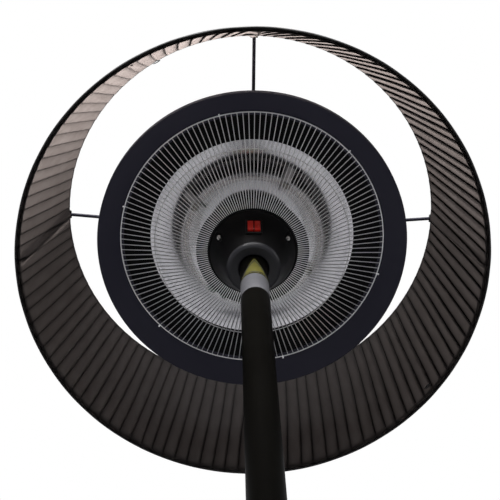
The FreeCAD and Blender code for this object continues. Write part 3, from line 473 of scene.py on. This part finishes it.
def cloth_rows():
    """The cloth from its low edge to its high edge: (radius, height) places, wrapped round both hoops."""
    wraps = []
    for degrees in (-75, -105, -135, -160):
        angle = math.radians(degrees)
        wraps.append((math.cos(angle) * (HOOP_WIRE + WRAP_GAP), math.sin(angle) * (HOOP_WIRE + WRAP_GAP)))
    rows = [(low_hoop_radius + across, low_hoop_height + up) for across, up in wraps]
    for row in range(ROWS_BETWEEN_HOOPS):
        height = mix(low_hoop_height, top_hoop_height, row / (ROWS_BETWEEN_HOOPS - 1))
        rows.append((wall_radius(height), height))
    rows += [(top_hoop_radius + across, top_hoop_height - up) for across, up in reversed(wraps)]
    return rows


def strut_fold(angle, radius, share):
    """How far the cloth is pushed in over the nearest strut, at a share of the shade's height."""
    nearest = round(angle / (2 * math.pi / SPOKES)) * (2 * math.pi / SPOKES)
    along = wrapped(angle - nearest) * radius
    width = STRUT_FOLD_BEFORE if along < 0 else STRUT_FOLD_AFTER
    width *= mix(0.75, 1.15, share)
    ends = smooth(0.0, 0.05, share) * (1 - smooth(0.97, 1.0, share))
    return smooth(1.0, 0.0, abs(along) / width) * ends


def make_cloth():
    """The whole pleated shade as one continuous sheet."""
    rng = random.Random(7)
    pitch = 2 * math.pi / PLEATS
    start = pitch / 2
    widths = [rng.uniform(0.9, 1.1) for _ in range(PLEATS)]
    edges = [start]
    quarter = PLEATS // SPOKES
    for side in range(SPOKES):
        part = widths[side * quarter:(side + 1) * quarter]
        total = sum(part)
        for width in part:
            edges.append(edges[-1] + width / total * quarter * pitch)
    bows = [rng.uniform(-1, 1) for _ in range(PLEATS)]
    leans = [rng.uniform(-1, 1) for _ in range(PLEATS)]
    depths = [rng.uniform(0.78, 1.0) for _ in range(PLEATS)]
    points = []
    flat = []
    # light holds the painted shade in the folds, one share per point: 1 where the cloth is not shaded.
    light = []
    height_span = cloth_high - cloth_low
    paths = []
    rows = cloth_rows()
    for radius, height in rows:
        share = min(1.0, max(0.0, (height - cloth_low) / height_span))
        near_hem = min(share, 1 - share) * height_span
        pressed = mix(0.1, 1.0, smooth(0.0, FLAT_AT_HEM, near_hem))
        lean = share - 0.5
        path = 0.0
        before = None
        for index in range(PLEATS):
            width = edges[index + 1] - edges[index]
            after = (index + 1) % PLEATS
            bow = bows[index] * PLEAT_BOW / radius * math.sin(math.pi * share)
            bow += leans[index] * PLEAT_SWAY / radius * math.sin(2 * math.pi * share)
            next_bow = bows[after] * PLEAT_BOW / radius * math.sin(math.pi * share)
            next_bow += leans[after] * PLEAT_SWAY / radius * math.sin(2 * math.pi * share)
            for across, depth, painted_fold_light in PLEAT_SECTION:
                angle = edges[index] + across * width + mix(bow, next_bow, min(1.0, across))
                angle += pleat_lean(angle) * lean
                fold = strut_fold(angle, radius, share)
                pucker = noise.noise(Vector((angle * 14, height * 9, 3.1))) * PUCKER
                pucker *= smooth(0.0, 0.03, near_hem)
                out = PLEAT_DEPTH * depths[index] * depth * pressed * (1 - 0.75 * fold)
                push = STRUT_FOLD * fold
                place = polar(radius + out + pucker - push, angle, height)
                if before is not None:
                    path += (place - before).length
                before = place
                points.append(place)
                flat.append((path, height))
                light.append(mix(1.0, painted_fold_light, mix(0.5, 1.0, pressed)))
        paths.append(path)
    columns = PLEATS * len(PLEAT_SECTION)
    faces = strip_faces(len(rows), columns, around_columns=True)
    shade = mesh_piece("shade_cloth_pleated", points, faces, materials["shade_cloth"], "shade", sharp=50)
    layer = shade.data.uv_layers.new(name="cloth")
    for loop in shade.data.loops:
        layer.data[loop.index].uv = flat[loop.vertex_index]
    shade.data.attributes.new("painted_fold_shade", "FLOAT", "POINT").data.foreach_set("value", light)
    thick = shade.modifiers.new("thickness", "SOLIDIFY")
    thick.thickness = CLOTH_THICK
    thick.offset = 0.0
    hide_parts("shade_fabric")
    return shade, sum(paths) / len(paths)


def hoop_cover(name, radius, height, material):
    """The cloth's turned edge over the outer side of a hoop."""
    profile = []
    for reach, turns in ((HOOP_WIRE + COVER_OUT, range(-100, 101, 20)),
                         (HOOP_WIRE + COVER_IN, range(100, -101, -20))):
        for degrees in turns:
            angle = math.radians(degrees)
            profile.append((radius + reach * math.cos(angle), height + reach * math.sin(angle)))
    cover = lathe(name, profile, material, "shade", wobble=0.0003, seed=height)
    return cover


def piping(name, radius, height, wide, tall, material):
    """A thin round-edged tape along a hem."""
    profile = []
    sides = 12
    for index in range(sides):
        angle = 2 * math.pi * index / sides
        profile.append((radius + wide * math.cos(angle), height + tall * math.sin(angle)))
    tape = lathe(name, profile, material, "shade", wobble=0.0004, seed=radius)
    return tape


def make_seam():
    """Where the ends of the cloth meet: a short dark line at the low hem, a small tape at the top hoop."""
    angle = math.radians(-121)
    pieces = []
    for name, half, height_low, height_high, inward, material in (
            ("shade_seam_end", 0.0012, cloth_low + 0.003, cloth_low + 0.017, 0.0012, materials["hem_tape"]),
            ("shade_seam_tape", 0.006, cloth_high - 0.009, cloth_high + 0.0006, 0.0016,
             materials["hem_tape"])):
        columns = 9
        rows = 15
        points = []
        for layer in (0, 1):
            for row in range(rows):
                height = mix(height_low, height_high, row / (rows - 1))
                for column in range(columns):
                    across = mix(-half, half, column / (columns - 1))
                    bulge = 0.0007 * math.cos(across / half * math.pi / 2)
                    radius = wall_radius(height) - inward - bulge + layer * 0.0009
                    points.append(polar(radius, angle + across / radius, height))
        face = strip_faces(rows, columns)
        size = rows * columns
        faces = [tuple(reversed(quad)) for quad in face] + [tuple(i + size for i in quad) for quad in face]
        rim_loop = [i for i in range(columns)]
        rim_loop += [row * columns + columns - 1 for row in range(1, rows)]
        rim_loop += [(rows - 1) * columns + i for i in range(columns - 2, -1, -1)]
        rim_loop += [row * columns for row in range(rows - 2, 0, -1)]
        for here, after in zip(rim_loop, rim_loop[1:] + rim_loop[:1]):
            faces.append((here, after, after + size, here + size))
        piece = mesh_piece(name, points, faces, material, "shade")
        pieces.append(piece)
    return pieces


def make_thread_knot():
    """A small knot of black thread left on the inside near the low hem."""
    angle = math.radians(36)
    height = cloth_low + 0.012
    radius = wall_radius(height) - 0.0028
    line = []
    for step in range(40):
        turn = 2 * math.pi * step / 12
        swing = 0.0022 * (1 + 0.35 * math.sin(step * 0.7))
        line.append(polar(radius - 0.001 * math.sin(step * 1.1), angle + swing * 2.2 * math.cos(turn) / radius
                          + 0.0001 * step / radius, height + swing * math.sin(turn)))
    knot = tube_along("shade_thread_knot", line, 0.0007, materials["hem_tape"], "shade", sides=6)
    return knot


def make_shade():
    cloth, path = make_cloth()
    low_cover = hoop_cover("shade_hem_low", low_hoop_radius, low_hoop_height, materials["hem_cloth"])
    top_cover = hoop_cover("shade_hem_top", top_hoop_radius, top_hoop_height, materials["hem_cloth"])
    tape = piping("shade_piping_low", low_hoop_radius + 0.0024, low_hoop_height - HOOP_WIRE - 0.0004,
                  0.0016, 0.0013, materials["hem_tape"])
    rows = cloth_rows()
    make_thread_knot()
    make_seam()


# ---- small pieces on the head --------------------------------------------------------------

def make_filament():
    """A fine resistance coil inside the heating tube."""
    low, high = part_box("heating_element")
    tube = 0.005
    ring = high.x - tube
    height = low.z + tube
    gap_middle = math.radians(120)
    gap = math.radians(26)
    turns = 150
    steps = turns * 8
    line = []
    for step in range(steps + 1):
        angle = gap_middle + gap / 2 + (2 * math.pi - gap) * step / steps
        twist = 2 * math.pi * turns * step / steps
        line.append(polar(ring + 0.0013 * math.cos(twist), angle, height + 0.0013 * math.sin(twist)))
    coil = tube_along("heating_filament", line, 0.0004, materials["filament"], "stand", sides=5)


def make_housing_bead():
    """A thin raised line round the wide end of the switch housing."""
    low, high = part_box("switch_housing")
    radius = high.x - 0.0045
    height = high.z - 0.0085
    profile = []
    for index in range(8):
        angle = 2 * math.pi * index / 8
        profile.append((radius + 0.0006 * math.cos(angle), height + 0.0006 * math.sin(angle)))
    bead = lathe("housing_bead", profile, materials["collar_plastic"], "stand")


def make_sticker_outline():
    """A plain black triangle drawn just inside the edge of the yellow sticker, bent round the pole."""
    low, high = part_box("warning_sticker")
    radius = -low.y + 0.00003
    half = math.asin(high.x / (radius - 0.00003)) * radius
    corners = [(-half, low.z), (half, low.z), (0, high.z + 0.001)]
    middle = (0, low.z + (high.z - low.z) * 0.33)
    steps = 24
    points = []
    for shrink, lift in ((0.87, 0.0), (0.87, 0.00012), (0.72, 0.00012), (0.72, 0.0)):
        for index, corner in enumerate(corners):
            after = corners[(index + 1) % 3]
            for step in range(steps):
                x = mix(middle[0], mix(corner[0], after[0], step / steps), shrink)
                z = mix(middle[1], mix(corner[1], after[1], step / steps), shrink)
                points.append(polar(radius + lift, x / radius - math.pi / 2, z))
    faces = strip_faces(4, steps * 3, around_rows=True, around_columns=True)
    outline = mesh_piece("sticker_outline", points, faces, materials["print_black_and_recess_shade"], "stand")


def make_screw_domes():
    """A domed head on each of the housing's screws, with black cross blocks that stand in for the shade in
    its crossed recess.
    """
    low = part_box("housing_screws")[0]
    head = 0.0038
    circle = 0.062
    for index, degrees in enumerate((90, -30, -150)):
        centre = polar(circle, math.radians(degrees), low.z)
        points = [centre - Vector((0, 0, 0.0013))]
        sides = 24
        rings = 6
        for ring in range(1, rings + 1):
            tilt = math.pi / 2 * ring / rings
            for side in range(sides):
                angle = 2 * math.pi * side / sides
                out = Vector((math.cos(angle), math.sin(angle), 0)) * head * math.sin(tilt)
                points.append(centre + out - Vector((0, 0, 0.0013 * math.cos(tilt))))
        faces = [(0, 1 + (side + 1) % sides, 1 + side) for side in range(sides)]
        for ring in range(rings - 1):
            base = 1 + ring * sides
            for side in range(sides):
                after = (side + 1) % sides
                faces.append((base + side, base + after, base + sides + after, base + sides + side))
        faces.append(tuple(1 + (rings - 1) * sides + side for side in range(sides)))
        dome = mesh_piece(f"screw_dome_{index}", points, faces, materials["zinc_steel"], "stand")
        # Painted shade: each arm of the recess is a black block, not a hollow.
        for turn in (0, 1):
            angle = math.radians(degrees + 20 + 90 * turn)
            along = Vector((math.cos(angle), math.sin(angle), 0)) * 0.0021
            across = Vector((-math.sin(angle), math.cos(angle), 0)) * 0.00045
            down = Vector((0, 0, -0.0013))
            up = Vector((0, 0, -0.0006))
            ends = [centre + a + b + c for c in (down - Vector((0, 0, 0.00004)), up)
                    for a, b in ((along, across), (along, -across), (-along, -across), (-along, across))]
            block = [(3, 2, 1, 0), (4, 5, 6, 7), (0, 1, 5, 4), (1, 2, 6, 5), (2, 3, 7, 6), (3, 0, 4, 7)]
            recess_shade_block = mesh_piece(f"screw_recess_{index}_{turn}", ends, block, materials["print_black_and_recess_shade"], "stand")


# ---- stage ---------------------------------------------------------------------------------

def make_floor():
    """A plain pale floor with its edge far off."""
    side = 48
    reach = 14.0
    points = [Vector((0, 0, floor_height - 0.0002))]
    points += [polar(reach, 2 * math.pi * i / side, floor_height - 0.0002) for i in range(side)]
    faces = [(0, i + 1, (i + 1) % side + 1) for i in range(side)]
    mesh = bpy.data.meshes.new("studio_floor")
    mesh.from_pydata([tuple(p) for p in points], [], faces)
    floor = bpy.data.objects.new("studio_floor", mesh)
    bpy.context.scene.collection.objects.link(floor)
    mesh.materials.append(finish_material("studio_floor", (0.84, 0.84, 0.84), (0.88, 0.88, 0.88), (0.7, 0.8),
                                          grain=200.0, broad=1.5))


SKY_LOW = 0.02
SKY_HIGH = 0.5
SKY_FRONT = 0.35  # share of the sky's light in front of the object


def make_world():
    """White to the camera. The light on the object is bright overhead, dim at the horizon and in front."""
    world = bpy.data.worlds.new("studio")
    bpy.context.scene.world = world
    world.use_nodes = True
    tree = world.node_tree
    seen = tree.nodes["Background"]
    seen.inputs["Color"].default_value = (1, 1, 1, 1)
    seen.inputs["Strength"].default_value = 1.0
    place = tree.nodes.new("ShaderNodeTexCoord")
    axes = tree.nodes.new("ShaderNodeSeparateXYZ")
    link(tree, place.outputs["Generated"], axes.inputs["Vector"])
    height = tree.nodes.new("ShaderNodeMapRange")
    height.interpolation_type = "SMOOTHSTEP"
    height.inputs["From Min"].default_value = 0.3
    height.inputs["From Max"].default_value = 0.95
    height.inputs["To Min"].default_value = SKY_LOW
    height.inputs["To Max"].default_value = SKY_HIGH
    link(tree, axes.outputs["Z"], height.inputs["Value"])
    front = tree.nodes.new("ShaderNodeMapRange")
    front.inputs["From Min"].default_value = -1.0
    front.inputs["From Max"].default_value = 0.3
    front.inputs["To Min"].default_value = SKY_FRONT
    link(tree, axes.outputs["Y"], front.inputs["Value"])
    strength = tree.nodes.new("ShaderNodeMath")
    strength.operation = "MULTIPLY"
    link(tree, height.outputs["Result"], strength.inputs[0])
    link(tree, front.outputs["Result"], strength.inputs[1])
    soft = tree.nodes.new("ShaderNodeBackground")
    soft.inputs["Color"].default_value = (0.97, 0.97, 1.0, 1)
    link(tree, strength.outputs["Value"], soft.inputs["Strength"])
    path = tree.nodes.new("ShaderNodeLightPath")
    both = tree.nodes.new("ShaderNodeMixShader")
    link(tree, path.outputs["Is Camera Ray"], both.inputs["Fac"])
    link(tree, soft.outputs["Background"], both.inputs[1])
    link(tree, seen.outputs["Background"], both.inputs[2])
    link(tree, both.outputs["Shader"], tree.nodes["World Output"].inputs["Surface"])


LAMP_SPREAD = math.radians(60)


def softbox(name, place, target, wide, tall, power):
    """A rectangular studio lamp."""
    light = bpy.data.lights.new(name, "AREA")
    light.shape = "RECTANGLE"
    light.size = wide
    light.size_y = tall
    light.energy = power
    light.spread = LAMP_SPREAD
    lamp = bpy.data.objects.new(name, light)
    lamp.location = place
    lamp.rotation_mode = "QUATERNION"
    lamp.rotation_quaternion = (Vector(target) - Vector(place)).to_track_quat("-Z", "Y")
    lamp.visible_camera = False
    bpy.context.scene.collection.objects.link(lamp)
    return lamp


def make_lights():
    """Large soft lamps round the shade, the same for every piece."""
    middle = (cloth_low + cloth_high) / 2
    shade = (0, 0, middle)
    softbox("key", (-0.25, -3.4, 2.6), shade, 2.6, 2.0, 72)
    softbox("near_back", (-0.4, -1.25, middle), shade, 0.5, 0.3, 4)
    softbox("side_left", (-3.2, -0.5, middle), shade, 1.0, 0.5, 1.7)
    softbox("side_right", (3.2, -0.9, middle), shade, 1.0, 0.5, 3)


def make_camera():
    """Close to the floor in front of the pole, looking up into the head."""
    yaw, pitch, roll = 0.0633, 1.2245, -0.0489
    ahead = Vector((math.sin(yaw) * math.cos(pitch), math.cos(yaw) * math.cos(pitch), math.sin(pitch)))
    side = Vector((math.cos(yaw), -math.sin(yaw), 0))
    above = side.cross(ahead)
    right = side * math.cos(roll) + above * math.sin(roll)
    up = above * math.cos(roll) - side * math.sin(roll)
    data = bpy.data.cameras.new("camera")
    data.lens = 86.4
    data.sensor_width = 36
    data.clip_start = 0.02
    camera = bpy.data.objects.new("camera", data)
    turn = Matrix((right, up, -ahead)).transposed().to_4x4()
    camera.matrix_world = Matrix.Translation((-0.0454, -0.6480, 0.1275)) @ turn
    bpy.context.scene.collection.objects.link(camera)
    bpy.context.scene.camera = camera


bpy.context.scene.view_settings.view_transform = "Standard"
make_camera()
dress_nodes()
make_shade()
make_filament()
make_housing_bead()
make_sticker_outline()
make_screw_domes()
make_floor()
make_world()
make_lights()
